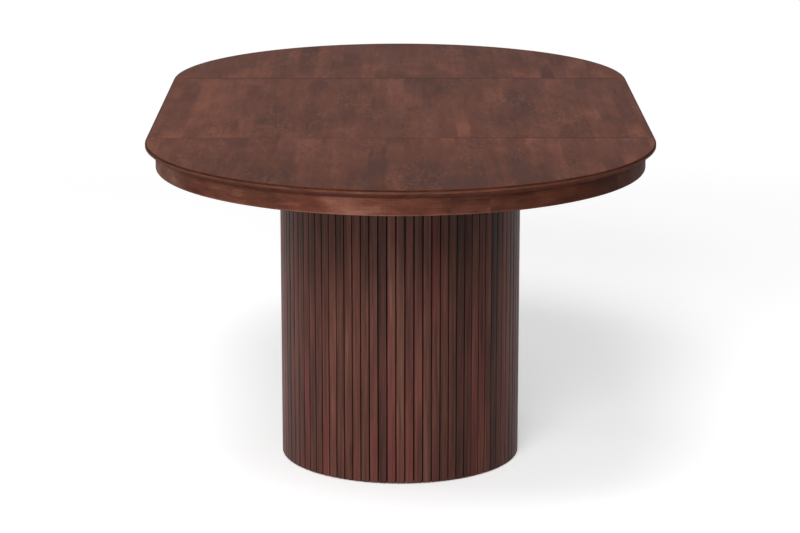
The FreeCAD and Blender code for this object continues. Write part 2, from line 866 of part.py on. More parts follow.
def stop_dogs():
    """Low steel blocks on the top plate that the stop pins run up to."""
    body = new_body("stop_dogs", "drum_top")
    for x, y in dog_screw_places():
        corners = box_corners(
            f"{x} - dog_wide / 2", f"{x} + dog_wide / 2", f"{y} - dog_long / 2", f"{y} + dog_long / 2"
        )
        pad(body, outline(body, corners), "dog_tall")
    high = "drum_top + dog_tall"
    shank_holes(body, dog_screw_places(), "drum_top", f"{high} - screw_head_tall", "drum_top")
    head_holes(body, dog_screw_places(), f"{high} - screw_head_tall", high, "drum_top")
    return body


# Leaf


def leaf_top():
    """The leaf's panel: the halves' edge section drawn straight, with both seams eased."""
    body = new_body("leaf_top", "under_leaf")
    thick = "(top_thick - leaf_clear)"
    right = edge_points("top_radius", thick)
    left = [(f"-({x})", z) for x, z in reversed(right)]
    pad(body, outline(body, right + left, "XZ_Plane"), "leaf_long", SideType="Symmetric")
    seam_cut(body, "leaf_long / 2", thick, "1")
    seam_cut(body, "-leaf_long / 2", thick, "-1")
    peg_hole = "peg_dia / 2 + glue_gap"
    bores(body, PEG_PLACES, "under_leaf", "under_leaf + peg_bite", peg_hole, PIN_SIDES, "under_leaf")
    shank_holes(body, LEAF_BATTEN_SCREWS, "under_leaf", "under_leaf + screw_bite", "under_leaf")
    return body


def leaf_apron(name, side):
    """A straight apron along one side of the leaf, in line with the halves' aprons."""
    body = new_body(f"leaf_apron_{name}", "under_top - apron_deep")
    section = apron_points("apron_deep + leaf_clear")
    if side < 0:
        section = [(f"-({x})", z) for x, z in reversed(section)]
    pad(body, outline(body, section, "XZ_Plane"), "leaf_long", SideType="Symmetric")
    return body


def leaf_batten(name, side):
    """A stiffener under the leaf, beside the slides."""
    body = bar(
        f"leaf_batten_{name}",
        f"{side} * leaf_batten_off - batten_wide / 2",
        f"{side} * leaf_batten_off + batten_wide / 2",
        "-leaf_batten_long / 2",
        "leaf_batten_long / 2",
        "under_leaf - batten_tall",
        "under_leaf",
    )
    places = [(f"{side} * leaf_batten_off", y) for x, y in LEAF_BATTEN_SCREWS[:3]]
    low = "under_leaf - batten_tall"
    head_high = f"{low} + screw_head_tall"
    shank_holes(body, places, head_high, "under_leaf", low)
    head_holes(body, places, low, head_high, low)
    return body


def leaf_screws():
    low = "under_leaf - batten_tall"
    head_high = f"{low} + screw_head_tall"
    tip = "under_leaf + screw_bite - screw_gap"
    return screws("leaf_batten_screws", LEAF_BATTEN_SCREWS, (head_high, tip), (low, head_high))


def leaf_blocks():
    """Glue blocks between the leaf's panel and its aprons."""
    body = new_body("leaf_apron_blocks", "under_leaf - block_side")
    outer = "apron_inside - glue_gap"
    for step in (-1, 0, 1):
        middle = f"{step} * leaf_block_step"
        low_y = f"{middle} - block_long / 2"
        high_y = f"{middle} + block_long / 2"
        pad(body, outline(body, box_corners(f"{outer} - block_side", outer, low_y, high_y)), "block_side")
        corners = box_corners(f"-({outer})", f"-({outer}) + block_side", low_y, high_y)
        pad(body, outline(body, corners), "block_side")
    return body


def leaf_pegs():
    """Pegs under the leaf that drop into the fixed rails and keep it in line."""
    low = "under_leaf - peg_drop"
    high = "under_leaf + peg_bite - glue_gap"
    return pins("leaf_pegs", PEG_PLACES, [(low, high, "peg_dia / 2", PIN_SIDES)])


def pedestal():
    upper = studs("upper_studs", "ring_high", "plate_low")
    stud_tops(upper)
    rail_face = ("drum_top", "drum_top + screw_sink")
    dog_face = ("drum_top", "drum_top + dog_tall - screw_head_tall")
    ballast_face = ("base_top", "base_top + ballast_thick")
    nut_low = "plate_low - axle_nut_tall"
    return [
        glides(),
        base_plate(),
        ballast(),
        screws_down("ballast_screws", BALLAST_PLACES, ballast_face),
        studs("lower_studs", "base_top", "ring_low"),
        middle_ring(),
        upper,
        drum_core(),
        drum_slats(),
        top_plate(),
        plate_screws(),
        centre_rail("left", -1),
        centre_rail("right", 1),
        screws_down("rail_screws", RAIL_SCREWS, rail_face),
        pinion_axle(),
        collar("axle_nut", nut_low, "plate_low", "axle_nut_dia / 2", HEAD_SIDES),
        collar("pinion_washer", "drum_top", "gear_low - gear_side_gap", "axle_head_dia / 2", COLLAR_SIDES),
        rack_guides(),
        screws_down("rack_guide_screws", GUIDE_SCREWS, ("drum_top", "gear_high")),
        stop_dogs(),
        screws_down("stop_dog_screws", dog_screw_places(), dog_face),
    ]


def table_half(half):
    return [
        half_top(half),
        half_apron(half),
        half_blocks(half),
        runner(half, -1),
        runner(half, 1),
        runner_screws(half),
        stop_pins(half),
        cross_batten(half),
        batten_screws(half),
        rack(half),
    ]


def leaf():
    return [
        leaf_top(),
        leaf_apron("left", -1),
        leaf_apron("right", 1),
        leaf_batten("left", -1),
        leaf_batten("right", 1),
        leaf_screws(),
        leaf_blocks(),
        leaf_pegs(),
    ]


pieces = pedestal() + [pinion()] + table_half("front") + table_half("rear") + leaf()
doc.recompute()

broken = [item.Label for item in doc.Objects if {"Invalid", "Error"} & set(item.State)]
broken += [piece.Label for piece in pieces if piece.Shape.isNull() or not piece.Shape.isValid()]
if broken:
    raise ValueError(f"these did not build: {broken}")

os.makedirs("parts", exist_ok=True)
for piece in pieces:
    piece.Shape.exportStep(f"parts/{piece.Label}.step")
    print(piece.Label, len(piece.Shape.Solids), "solids")
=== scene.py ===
import json
import math
import random

import bpy
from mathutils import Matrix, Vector

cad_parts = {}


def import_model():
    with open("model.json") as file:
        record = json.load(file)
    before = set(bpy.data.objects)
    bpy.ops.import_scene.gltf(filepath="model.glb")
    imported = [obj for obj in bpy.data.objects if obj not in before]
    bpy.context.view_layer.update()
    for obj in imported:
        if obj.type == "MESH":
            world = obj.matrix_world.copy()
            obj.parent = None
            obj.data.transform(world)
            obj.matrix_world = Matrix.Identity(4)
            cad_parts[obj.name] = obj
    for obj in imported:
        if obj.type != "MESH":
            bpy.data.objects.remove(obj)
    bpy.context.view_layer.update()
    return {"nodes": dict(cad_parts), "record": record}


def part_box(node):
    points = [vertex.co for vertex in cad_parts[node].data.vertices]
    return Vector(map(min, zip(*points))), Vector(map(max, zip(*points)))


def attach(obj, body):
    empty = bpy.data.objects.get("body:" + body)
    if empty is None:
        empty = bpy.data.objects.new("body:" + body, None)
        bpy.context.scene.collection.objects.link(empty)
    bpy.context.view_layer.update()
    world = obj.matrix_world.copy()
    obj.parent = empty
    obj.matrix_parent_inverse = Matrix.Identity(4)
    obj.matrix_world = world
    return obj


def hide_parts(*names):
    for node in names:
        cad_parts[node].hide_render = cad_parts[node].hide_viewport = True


# Extending dining table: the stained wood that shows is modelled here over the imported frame.
# Metres, +Z up, origin on the floor under the drum. The rest of the frame keeps its own solids.

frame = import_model()

# Rim of the top: its upper rounding, how far below the top its flat face ends, and how far in and
# below the top the bevel under it ends
RIM_ROUND = 0.003
RIM_FACE = 0.007
LIP_IN = 0.006
LIP_DEEP = 0.012
RIM_STEPS = 6

# Slots of the top's finishes, in the order of top_woods
TOP_SLOT, RIM_SLOT, SEAM_SLOT, ROUNDING_SLOT, UNDER_RIM_SLOT = range(5)

# Apron: its thickness, its lower rounding, and how much paler that rounding is painted, as a highlight
APRON_THICK = 0.018
APRON_ROUND = 0.003
APRON_STEPS = 4
PAINTED_EDGE_HIGHLIGHT = 0.22

# How finely a half turn is drawn, and the angle from which an edge stays crisp
TURN_STEPS = 180
CRISP = math.radians(35)

# Arris along the seams: its width, the width where the joint is tight, how it runs out at the rim,
# and the stretch right of the middle over which the front joint opens
ARRIS = 0.0012
TIGHT_ARRIS = 0.0003
ARRIS_STEPS = 40
ARRIS_RUN_OUT = 0.004
OPEN_FROM = 0.06
OPEN_OVER = 0.12

# Slats: their count, the gap between two, their thickness and rounded front edges, and how far one
# may stand back from the drum's outline
SLAT_COUNT = 86
SLAT_GAP = 0.0024
SLAT_THICK = 0.009
SLAT_EDGE = 0.0009
SLAT_EDGE_STEPS = 3
SLAT_OUT_OF_LINE = 0.00012

# Tones of the slats: what they start from, their mean and spread, the share that each takes over
# from the one before, how much darker the side walls are painted as shade in the gaps, and how far
# apart they lie in their wood
SLAT_SEED = 2628
SLAT_FIRST_TONE = 0.5
SLAT_TONE = 0.48
SLAT_SPREAD = 0.15
SLAT_ALIKE = 0.4
SLAT_SIDE_SHADE = 0.3
SLAT_WOOD = (40, 40, 9)

# Staves that the top is glued up from: their mean width, how far they stray from it, how ragged the
# stain leaves their edges, and the share of a stave over which its tone passes into the next one's
STAVE_WIDE = 0.034
STAVE_STRAY = 0.05
STAVE_RAGGED = 0.009
STAVE_SOFT = 0.2

# Two drifts of the staves' tones, each with the length it takes and its start in the noise, how far
# apart two staves are in that noise, and where each panel lies in its own wood
LONG_DRIFT = (0.42, 1.3)
SHORT_DRIFT = (0.15, 4.7)
STAVE_APART = 5.3
STAVE_NOISE = ((1, 1, 1), 1.0)
PANEL_WOOD = {"front": (0, 0, 0), "leaf": (0.37, 1.3, 0), "rear": (-0.21, 2.7, 0)}

# The top is painted darker towards the front rim, as shade, and paler towards its two sides: from
# where to where, its level at the front and elsewhere, and what the sides add
FRONT_SHADE = (-0.84, -0.45)
PALE_SIDES = (0.3, 0.5)
FRONT_LEVEL = 0.16
MIDDLE_LEVEL = 0.5
SIDE_LIFT = 0.1

# The middle of a noise's levels
NOISE_MIDDLE = 0.5

# The top's grain: waves per metre across, along and into the wood, then detail and roughness
TOP_GRAIN = {
    "stray": ((11, 1, 1), 1.0, 0.5),
    "ragged": ((70, 10, 70), 3.0, 0.6),
    "drifts": ((30, 2, 30), 2.0, 0.55),
    "clouds": ((7, 1.3, 7), 2.0, 0.5),
    "figure": ((80, 9, 80), 3.0, 0.6),
    "curl": ((110, 20, 110), 3.0, 0.6),
    "streaks": ((300, 13, 300), 3.0, 0.65),
    "dye": ((30, 3, 30), 3.0, 0.6),
    "marks": ((60, 17, 60), 3.0, 0.6),
    "patches": ((18, 5, 18), 2.0, 0.5),
}

# How far each part of the grain sways the stain's level and its hue, and where its dye lies
LEVEL_SWAY = {
    "long_tone": 0.85,
    "short_tone": 0.75,
    "drifts": 0.65,
    "clouds": 0.15,
    "figure": 0.5,
    "curl": 0.4,
    "streaks": 0.6,
}
HUE_SWAY = {"dye": 1.5, "drifts": 0.3, "short_tone": 0.3}
DYE_SHIFT = (5, 7, 0)

# Thin marks in the top: how far the grain and they wander, the level and width at which the pale and
# the dark ones are drawn, how strong they are, and between which noise levels their patches begin
LINES_WANDER = 0.02
MARKS_WANDER = 0.06
PALE_MARKS = (0.52, 0.02)
DARK_MARKS = (0.38, 0.03)
PALE_MARKED = 0.42
DARK_MARKED = 0.55
PATCH_START = (0.46, 0.62)

# Slow waves that draw grain lines off course
WANDER_WAVES = ((9, 3.5, 9), 1.5)

# Stained lengths of wood: their fine streaks, how far blotches and streaks sway the level, and
# between which noise levels dark marks begin
LENGTH_STREAKS = ((620, 10, 620), 2.0, 0.6)
BLOTCH_SWAY = 0.6
STREAK_SWAY = 0.35
MARK_START = (0.58, 0.74)

# Grain of the plainer finishes, like the top's, and how far each part sways their colour; timber
# has its waves across and along its grain
PLAIN_GRAIN = {
    "board_face": ((30, 4, 30), 3.0, 0.6),
    "board_fibres": ((380, 14, 380), 2.0, 0.6),
    "core_patches": ((40, 40, 8), 3.0, 0.6),
    "core_fibres": ((500, 500, 20), 2.0, 0.6),
    "edge_fibres": ((300, 300, 300), 2.0, 0.6),
    "edge_wear": ((30, 30, 30), 3.0, 0.6),
    "steel_mottle": ((160, 160, 160), 3.0, 0.6),
    "steel_rubs": ((1500, 90, 1500), 2.0, 0.5),
    "nylon_grain": ((900, 900, 900), 2.0, 0.5),
    "nylon_clouds": ((60, 60, 60), 2.0, 0.5),
}
TIMBER_RINGS = ((45, 3), 3.0, 0.6)
TIMBER_FIBRES = ((420, 12), 2.0, 0.6)
TIMBER_SWAY = {"rings": 1.1, "fibres": 0.5}
BOARD_SWAY = {"ply": 0.3, "face": 0.7, "fibres": 0.5}
EDGE_SWAY = {"fibres": 0.6, "wear": 1.0}
CORE_SWAY = 0.8

# The thickness of two plies, and the shares of it between which one passes into the other
PLY_PAIR = 0.0036
PLY_EDGE = (0.42, 0.58)

# Gloss of the top and its edges, dulled to a satin by rubbing, of bare wood, of the core and of nylon
DULL_GLOSS = 0.015
WOOD_GLOSS = 0.3
CORE_GLOSS = 0.02
NYLON_GLOSS = 0.45

# The noise levels between which roughness runs, and for each kind of surface its two ends, or how
# much rougher the upper end is than the lower one
ROUGH_SPAN = (0.2, 0.8)
TOP_ROUGH = (0.46, 0.58)
WOOD_ROUGH = (0.6, 0.75)
CORE_ROUGH = (0.6, 0.8)
STAIN_ROUGHER = 0.12
STEEL_ROUGH = 0.28
DARK_STEEL_ROUGH = 0.45
STEEL_ROUGHER = 0.15
NYLON_ROUGH_SPAN = (0.3, 0.7)
NYLON_ROUGH = (0.42, 0.52)
FLOOR_ROUGH = 0.95

# How deep the grain, the rub marks and the moulded skin are, how strongly they show, and how high
# the top's streaks stand beside its dark marks
GRAIN_SHOWN = 0.6
SKIN_SHOWN = 0.5
STREAK_HEIGHT = 0.4
TOP_GRAIN_DEEP = 0.00012
STAINED_GRAIN_DEEP = 0.0001
WOOD_GRAIN_DEEP = 0.00015
STEEL_RUBS_DEEP = 0.00003
NYLON_GRAIN_DEEP = 0.00004

# Joints between the lengths of wood in each curved apron, in degrees from its middle, and how the
# stain's tone drifts round it: a turn in degrees with its tone
FRONT_APRON_JOINTS = (-90, -49, -28.4, 10.7, 19.6, 58, 90)
FRONT_APRON_TONES = (
    (-90, 0.7), (-60, 0.63), (-50, 0.52), (-48, 0.6), (-38, 0.58), (-29, 0.46), (-27, 0.54),
    (-19, 0.62), (-12, 0.78), (-6, 0.7), (0, 0.56), (8, 0.46), (11, 0.36), (14, 0.45), (19, 0.45),
    (22, 0.4), (35, 0.4), (60, 0.44), (90, 0.56),
)
REAR_APRON_JOINTS = (-90, -61, -22, 3, 37, 66, 90)
REAR_APRON_TONES = ((-90, 0.5), (-61, 0.62), (-22, 0.46), (3, 0.6), (37, 0.42), (66, 0.56), (90, 0.5))

# The same for the leaf's straight aprons: joints as shares of the way to either end, and a tone for
# each length between them
LEAF_APRON_JOINT_SHARES = (-1, -0.2, 0.62, 1)
LEAF_APRON_TONES = (0.5, 0.66, 0.42)

# How far apart the lengths of an apron lie in their wood, by number in the curved ones and by tone
# in the straight ones
CURVED_WOOD_STEP = 1.7
STRAIGHT_WOOD_STEP = 3

# How bright the floor's own white is, where it fades to plain white, how far the floor reaches, and
# over what width its glow begins at the drum's foot; under the drum the floor has no glow, a painted
# shade
FLOOR_GLOW = 0.47
FLOOR_FADE = (1.9, 3.2)
FLOOR_REACH = 40.0
FLOOR_FOOT = 0.002

# Lights: place, size and power of each, what they aim at, and the even light from all round
LIGHTS = {
    "key": ((-0.84, -3.14, 5.93), (2.6, 2.6), 200),
    "front": ((-1.5, -5.59, 3.25), (2.8, 2.0), 215),
    "low": ((-0.45, -6.4, 1.3), (3.2, 1.2), 150),
    "side": ((-6.2, 0.9, 1.6), (1.6, 1.6), 66),
}
LIGHT_AIM = (0, 0, 0.3)
EVEN_LIGHT = 0.24

# Camera: its place, how many degrees it looks down, its slight turn in radians, and its lens and
# sensor in millimetres
CAMERA_PLACE = (-0.0136, -5.561, 1.745)
CAMERA_DOWN = 13.59
CAMERA_TURN = -0.0024
CAMERA_LENS = 121.5
CAMERA_SENSOR = 36.0


def srgb(red, green, blue):
    """A linear colour from 0-255 screen values."""
    shares = [value / 255 for value in (red, green, blue)]
    linear = [share / 12.92 if share <= 0.04045 else ((share + 0.055) / 1.055) ** 2.4 for share in shares]
    return (*linear, 1)


WHITE = (1, 1, 1, 1)
FLOOR_PALE = srgb(236, 236, 236)
FLOOR_BOUNCE = srgb(128, 128, 128)
TOP_STAIN = [
    (0.1, srgb(66, 37, 28)),
    (0.38, srgb(82, 45, 33)),
    (0.6, srgb(92, 52, 40)),
    (0.9, srgb(112, 66, 52)),
]
TOP_HUES = [(0.28, (0.96, 0.97, 1.06, 1)), (0.72, (1.03, 1.005, 0.91, 1))]
TOP_DARK = srgb(50, 30, 24)
TOP_LIGHT = srgb(138, 92, 76)
MARK_DARK = srgb(36, 23, 19)


# Shader building


class Shader:
    """A node material with short ways to add nodes and sums."""

    def __init__(self, name):
        self.material = bpy.data.materials.new(name)
        self.material.use_nodes = True
        self.tree = self.material.node_tree
        self.surface = self.tree.nodes["Principled BSDF"]

    def add(self, kind, settings=None, inputs=None):
        node = self.tree.nodes.new(kind)
        for name, setting in (settings or {}).items():
            setattr(node, name, setting)
        for name, entry in (inputs or {}).items():
            self.feed(node.inputs[name], entry)
        return node

    def feed(self, socket, entry):
        """Link another node's output, or type in a constant."""
        if isinstance(entry, bpy.types.NodeSocket):
            self.tree.links.new(entry, socket)
        else:
            socket.default_value = entry

    def sum(self, operation, *entries):
        node = self.add("ShaderNodeMath", {"operation": operation})
        for socket, entry in zip(node.inputs, entries):
            self.feed(socket, entry)
        return node.outputs[0]

    def vector(self, *parts):
        return self.add("ShaderNodeCombineXYZ", {}, dict(enumerate(parts))).outputs[0]

    def parts(self, vector):
        return self.add("ShaderNodeSeparateXYZ", {}, {0: vector}).outputs

    def scaled(self, vector, scale):
        node = self.add("ShaderNodeVectorMath", {"operation": "MULTIPLY"}, {0: vector, 1: scale})
        return node.outputs[0]

    def shifted(self, vector, shift):
        node = self.add("ShaderNodeVectorMath", {"operation": "ADD"}, {0: vector, 1: shift})
        return node.outputs[0]

    def noise(self, vector, waves, detail=2.0, roughness=0.5):
        inputs = {
            "Vector": self.scaled(vector, waves),
            "Scale": 1.0,
            "Detail": detail,
            "Roughness": roughness,
        }
        return self.add("ShaderNodeTexNoise", {}, inputs).outputs[0]

    def between(self, entry, low, high, to_low=0.0, to_high=1.0):
        inputs = {"Value": entry, "From Min": low, "From Max": high, "To Min": to_low, "To Max": to_high}
        return self.add("ShaderNodeMapRange", {}, inputs).outputs[0]

    def ramp(self, entry, stops):
        node = self.add("ShaderNodeValToRGB", {}, {"Fac": entry})
        band = node.color_ramp
        while len(band.elements) < len(stops):
            band.elements.new(0.5)
        for element, (place, colour) in zip(band.elements, stops):
            element.position = place
            element.color = colour
        return node.outputs[0]

    def mixed(self, share, first, second, blend="MIX"):
        """Two colours mixed; the colour sockets are numbers 6 and 7, and their outcome is number 2."""
        settings = {"data_type": "RGBA", "blend_type": blend}
        node = self.add("ShaderNodeMix", settings, {0: share, 6: first, 7: second})
        return node.outputs[2]

    def set(self, **values):
        names = {
            "colour": "Base Color",
            "metallic": "Metallic",
            "roughness": "Roughness",
            "gloss": "Specular IOR Level",
        }
        for name, entry in values.items():
            self.feed(self.surface.inputs[names[name]], entry)

    def roughened(self, entry, low, high):
        self.set(roughness=self.between(entry, *ROUGH_SPAN, low, high))

    def bumped(self, height, deep, strength=GRAIN_SHOWN):
        inputs = {"Height": height, "Distance": deep, "Strength": strength}
        self.feed(self.surface.inputs["Normal"], self.add("ShaderNodeBump", {}, inputs).outputs[0])


def grain_place(shader):
    """Where a point lies in its wood: x across the grain, y along it, z into it."""
    node = shader.add("ShaderNodeAttribute", {"attribute_name": "grain", "attribute_type": "GEOMETRY"})
    return node.outputs["Vector"]


def tone_of(shader):
    """The tone of the length of wood that a point belongs to."""
    node = shader.add("ShaderNodeAttribute", {"attribute_name": "tone", "attribute_type": "GEOMETRY"})
    return node.outputs["Fac"]


def own_place(shader):
    return shader.add("ShaderNodeTexCoord").outputs["Object"]


def wandering(shader, place, reach):
    """The place with the grain lines drawn off course by slow waves."""
    drift = shader.noise(place, *WANDER_WAVES)
    sideways = shader.sum("MULTIPLY", shader.sum("SUBTRACT", drift, NOISE_MIDDLE), reach)
    return shader.shifted(place, shader.vector(sideways))


def weighted(shader, base, *parts):
    """base plus each (entry, weight) taken about its middle."""
    total = base
    for entry, weight in parts:
        swing = shader.sum("MULTIPLY", shader.sum("SUBTRACT", entry, NOISE_MIDDLE), weight)
        total = shader.sum("ADD", swing, total)
    return total


def swayed(shader, base, grain, sway):
    """base moved by every part of the grain that sway names."""
    return weighted(shader, base, *[(grain[name], weight) for name, weight in sway.items()])


def stave_tone(shader, columns, along, length, start):
    """A tone that drifts along each column of staves and runs softly into the next column's."""
    column = shader.sum("FLOOR", columns)
    tones = []
    for number in (column, shader.sum("ADD", column, 1.0)):
        apart = shader.sum("MULTIPLY", number, STAVE_APART)
        spot = shader.vector(apart, shader.sum("DIVIDE", along, length), start)
        tones.append(shader.noise(spot, *STAVE_NOISE))
    passed = shader.between(shader.sum("FRACT", columns), 1 - STAVE_SOFT, 1.0)
    change = shader.sum("MULTIPLY", shader.sum("SUBTRACT", tones[1], tones[0]), passed)
    return shader.sum("ADD", tones[0], change)


def stave_columns(shader, place, across):
    """Which stave a point lies in, with the share of its width as the fraction."""
    stray = shader.noise(shader.vector(across), *TOP_GRAIN["stray"])
    ragged = shader.sum("SUBTRACT", shader.noise(place, *TOP_GRAIN["ragged"]), NOISE_MIDDLE)
    spread = shader.sum("ADD", across, shader.sum("MULTIPLY", stray, STAVE_STRAY))
    spread = shader.sum("ADD", spread, shader.sum("MULTIPLY", ragged, STAVE_RAGGED))
    return shader.sum("DIVIDE", spread, STAVE_WIDE)


def squiggles(shader, field, level, width):
    """Thin curved lines where a noise field passes a level."""
    off = shader.sum("ABSOLUTE", shader.sum("SUBTRACT", field, level))
    return shader.between(off, 0.0, width, 1.0, 0.0)


def top_shade_level(shader):
    """The top's colour level by the place on the table: painted shade towards the front rim, paler
    towards the sides.
    """
    x, y, _ = shader.parts(own_place(shader))
    front = shader.between(y, *FRONT_SHADE, FRONT_LEVEL, MIDDLE_LEVEL)
    sides = shader.between(shader.sum("ABSOLUTE", x), *PALE_SIDES, 0.0, SIDE_LIFT)
    return shader.sum("ADD", front, sides)


def stained_top():
    """Panel glued up from staves that run along the table, stained brown and brought to a satin by
    rubbing, with painted shade towards its front rim.
    """
    shader = Shader("stained_top")
    place = grain_place(shader)
    across, along, _ = shader.parts(place)
    columns = stave_columns(shader, place, across)
    lines = wandering(shader, place, LINES_WANDER)
    grain = {
        "long_tone": stave_tone(shader, columns, along, *LONG_DRIFT),
        "short_tone": stave_tone(shader, columns, along, *SHORT_DRIFT),
        "drifts": shader.noise(place, *TOP_GRAIN["drifts"]),
        "clouds": shader.noise(place, *TOP_GRAIN["clouds"]),
        "figure": shader.noise(lines, *TOP_GRAIN["figure"]),
        "curl": shader.noise(lines, *TOP_GRAIN["curl"]),
        "streaks": shader.noise(lines, *TOP_GRAIN["streaks"]),
        "dye": shader.noise(shader.shifted(place, DYE_SHIFT), *TOP_GRAIN["dye"]),
    }
    brown = shader.ramp(swayed(shader, top_shade_level(shader), grain, LEVEL_SWAY), TOP_STAIN)
    hues = shader.ramp(swayed(shader, NOISE_MIDDLE, grain, HUE_SWAY), TOP_HUES)
    brown = shader.mixed(1.0, brown, hues, "MULTIPLY")
    field = shader.noise(wandering(shader, place, MARKS_WANDER), *TOP_GRAIN["marks"])
    patches = shader.between(shader.noise(place, *TOP_GRAIN["patches"]), *PATCH_START)
    pale_marks = shader.sum("MULTIPLY", squiggles(shader, field, *PALE_MARKS), patches)
    brown = shader.mixed(shader.sum("MULTIPLY", pale_marks, PALE_MARKED), brown, TOP_LIGHT)
    dark_marks = shader.sum("MULTIPLY", squiggles(shader, field, *DARK_MARKS), patches)
    brown = shader.mixed(shader.sum("MULTIPLY", dark_marks, DARK_MARKED), brown, TOP_DARK)
    shader.set(colour=brown, gloss=DULL_GLOSS)
    shader.roughened(grain["streaks"], *TOP_ROUGH)
    height = shader.sum("MULTIPLY", grain["streaks"], STREAK_HEIGHT)
    height = shader.sum("SUBTRACT", height, dark_marks)
    shader.bumped(height, TOP_GRAIN_DEEP)
    return shader.material


def stained_lengths(name, stops, look):
    """Stained wood in separate lengths, each with its own tone and the grain along it.

    look holds noises in the form of TOP_GRAIN, how strong they are, and the surface's own values.
    """
    shader = Shader(name)
    tone = tone_of(shader)
    # Painted shade: the tone drops with height, darker under the top
    if "shade_under_top" in look:
        height = shader.parts(own_place(shader))[2]
        tone = shader.sum("ADD", tone, shader.between(height, *look["shade_under_top"]))
    lines = wandering(shader, grain_place(shader), look["wander"])
    blotches = shader.noise(lines, *look["blotches"])
    figure = shader.noise(lines, *look["figure"])
    streaks = shader.noise(lines, *LENGTH_STREAKS)
    sways = ((blotches, BLOTCH_SWAY), (figure, look["figured"]), (streaks, STREAK_SWAY))
    brown = shader.ramp(weighted(shader, tone, *sways), stops)
    hues = shader.ramp(shader.noise(lines, *look["hues"]), look["tints"])
    brown = shader.mixed(1.0, brown, hues, "MULTIPLY")
    marks = shader.between(shader.noise(lines, *look["marks"]), *MARK_START, 0.0, look["marked"])
    shader.set(colour=shader.mixed(marks, brown, MARK_DARK), gloss=look["gloss"])
    shader.roughened(streaks, look["rough"], look["rough"] + STAIN_ROUGHER)
    shader.bumped(shader.sum("SUBTRACT", streaks, marks), STAINED_GRAIN_DEEP)
    return shader.material


def apron_finish():
    stops = [
        (0.12, srgb(46, 29, 24)),
        (0.4, srgb(73, 42, 33)),
        (0.62, srgb(94, 54, 42)),
        (0.95, srgb(132, 91, 77)),
    ]
    look = {
        "wander": 0.03,
        "blotches": ((16, 7, 16), 2.0, 0.55),
        "figure": ((60, 20, 60), 3.0, 0.6),
        "figured": 0.6,
        "hues": ((9, 5, 9), 2.0, 0.5),
        "tints": [(0.35, (0.96, 1.04, 1.06, 1)), (0.65, (1.04, 0.97, 0.94, 1))],
        "marks": ((110, 9, 110), 3.0, 0.65),
        "marked": 0.5,
        "rough": 0.5,
        "gloss": 0.025,
    }
    return stained_lengths("stained_apron", stops, look)


def rim_finish():
    stops = [
        (0.1, srgb(50, 29, 23)),
        (0.42, srgb(76, 47, 37)),
        (0.66, srgb(93, 58, 46)),
        (0.92, srgb(128, 80, 60)),
    ]
    look = {
        "wander": 0.012,
        "blotches": ((24, 8, 24), 2.0, 0.55),
        "figure": ((150, 34, 150), 3.0, 0.6),
        "figured": 0.8,
        "hues": ((9, 5, 9), 2.0, 0.5),
        "tints": [(0.35, (0.96, 1.03, 1.05, 1)), (0.65, (1.04, 0.98, 0.95, 1))],
        "marks": ((150, 14, 150), 3.0, 0.65),
        "marked": 0.5,
        "rough": 0.5,
        "gloss": 0.04,
    }
    return stained_lengths("stained_rim", stops, look)


def slat_finish():
    """The drum's slats; their tone drops from one height to another under the top, as painted shade."""
    stops = [
        (0.1, srgb(41, 29, 26)),
        (0.34, srgb(66, 42, 36)),
        (0.56, srgb(88, 53, 46)),
        (0.78, srgb(106, 67, 58)),
        (0.96, srgb(128, 90, 76)),
    ]
    look = {
        "wander": 0.008,
        "blotches": ((22, 4, 22), 2.0, 0.55),
        "figure": ((190, 4, 190), 3.0, 0.6),
        "figured": 0.9,
        "hues": ((30, 1.6, 30), 2.0, 0.5),
        "tints": [(0.32, (1.12, 0.89, 0.96, 1)), (0.48, WHITE), (0.66, (0.95, 1.06, 0.97, 1))],
        "marks": ((150, 5, 150), 3.0, 0.65),
        "marked": 0.6,
        "rough": 0.42,
        "gloss": 0.1,
        # Painted shade: from one height to another, the tone drops under the top
        "shade_under_top": (0.4, 0.69, 0.06, -0.19),
    }
    return stained_lengths("stained_slats", stops, look)


def timber_noise(shader, place, along, waves, detail, roughness):
    """A noise in timber whose grain follows one of the three axes."""
    across, lengthwise = waves
    on_axes = [lengthwise if axis == along else across for axis in range(3)]
    return shader.noise(place, on_axes, detail, roughness)


def bare_wood(shader, grain, sway, light, dark):
    """The surface of wood without a finish, its pores open along the fibres."""
    level = swayed(shader, NOISE_MIDDLE, grain, sway)
    shader.set(colour=shader.ramp(level, [(0.2, light), (0.8, dark)]), gloss=WOOD_GLOSS)
    shader.roughened(grain["fibres"], *WOOD_ROUGH)
    shader.bumped(grain["fibres"], WOOD_GRAIN_DEEP)


def plain_wood(name, light, dark, along):
    """Unstained timber; along is the axis that its grain follows."""
    shader = Shader(name)
    place = own_place(shader)
    grain = {
        "rings": timber_noise(shader, place, along, *TIMBER_RINGS),
        "fibres": timber_noise(shader, place, along, *TIMBER_FIBRES),
    }
    bare_wood(shader, grain, TIMBER_SWAY, light, dark)
    return shader.material


def layered_board(name, light, dark):
    """Plywood: thin plies show on its edges and open grain on its faces."""
    shader = Shader(name)
    place = own_place(shader)
    ply = shader.sum("FRACT", shader.sum("DIVIDE", shader.parts(place)[2], PLY_PAIR))
    grain = {
        "ply": shader.between(ply, *PLY_EDGE),
        "face": shader.noise(place, *PLAIN_GRAIN["board_face"]),
        "fibres": shader.noise(place, *PLAIN_GRAIN["board_fibres"]),
    }
    bare_wood(shader, grain, BOARD_SWAY, light, dark)
    return shader.material


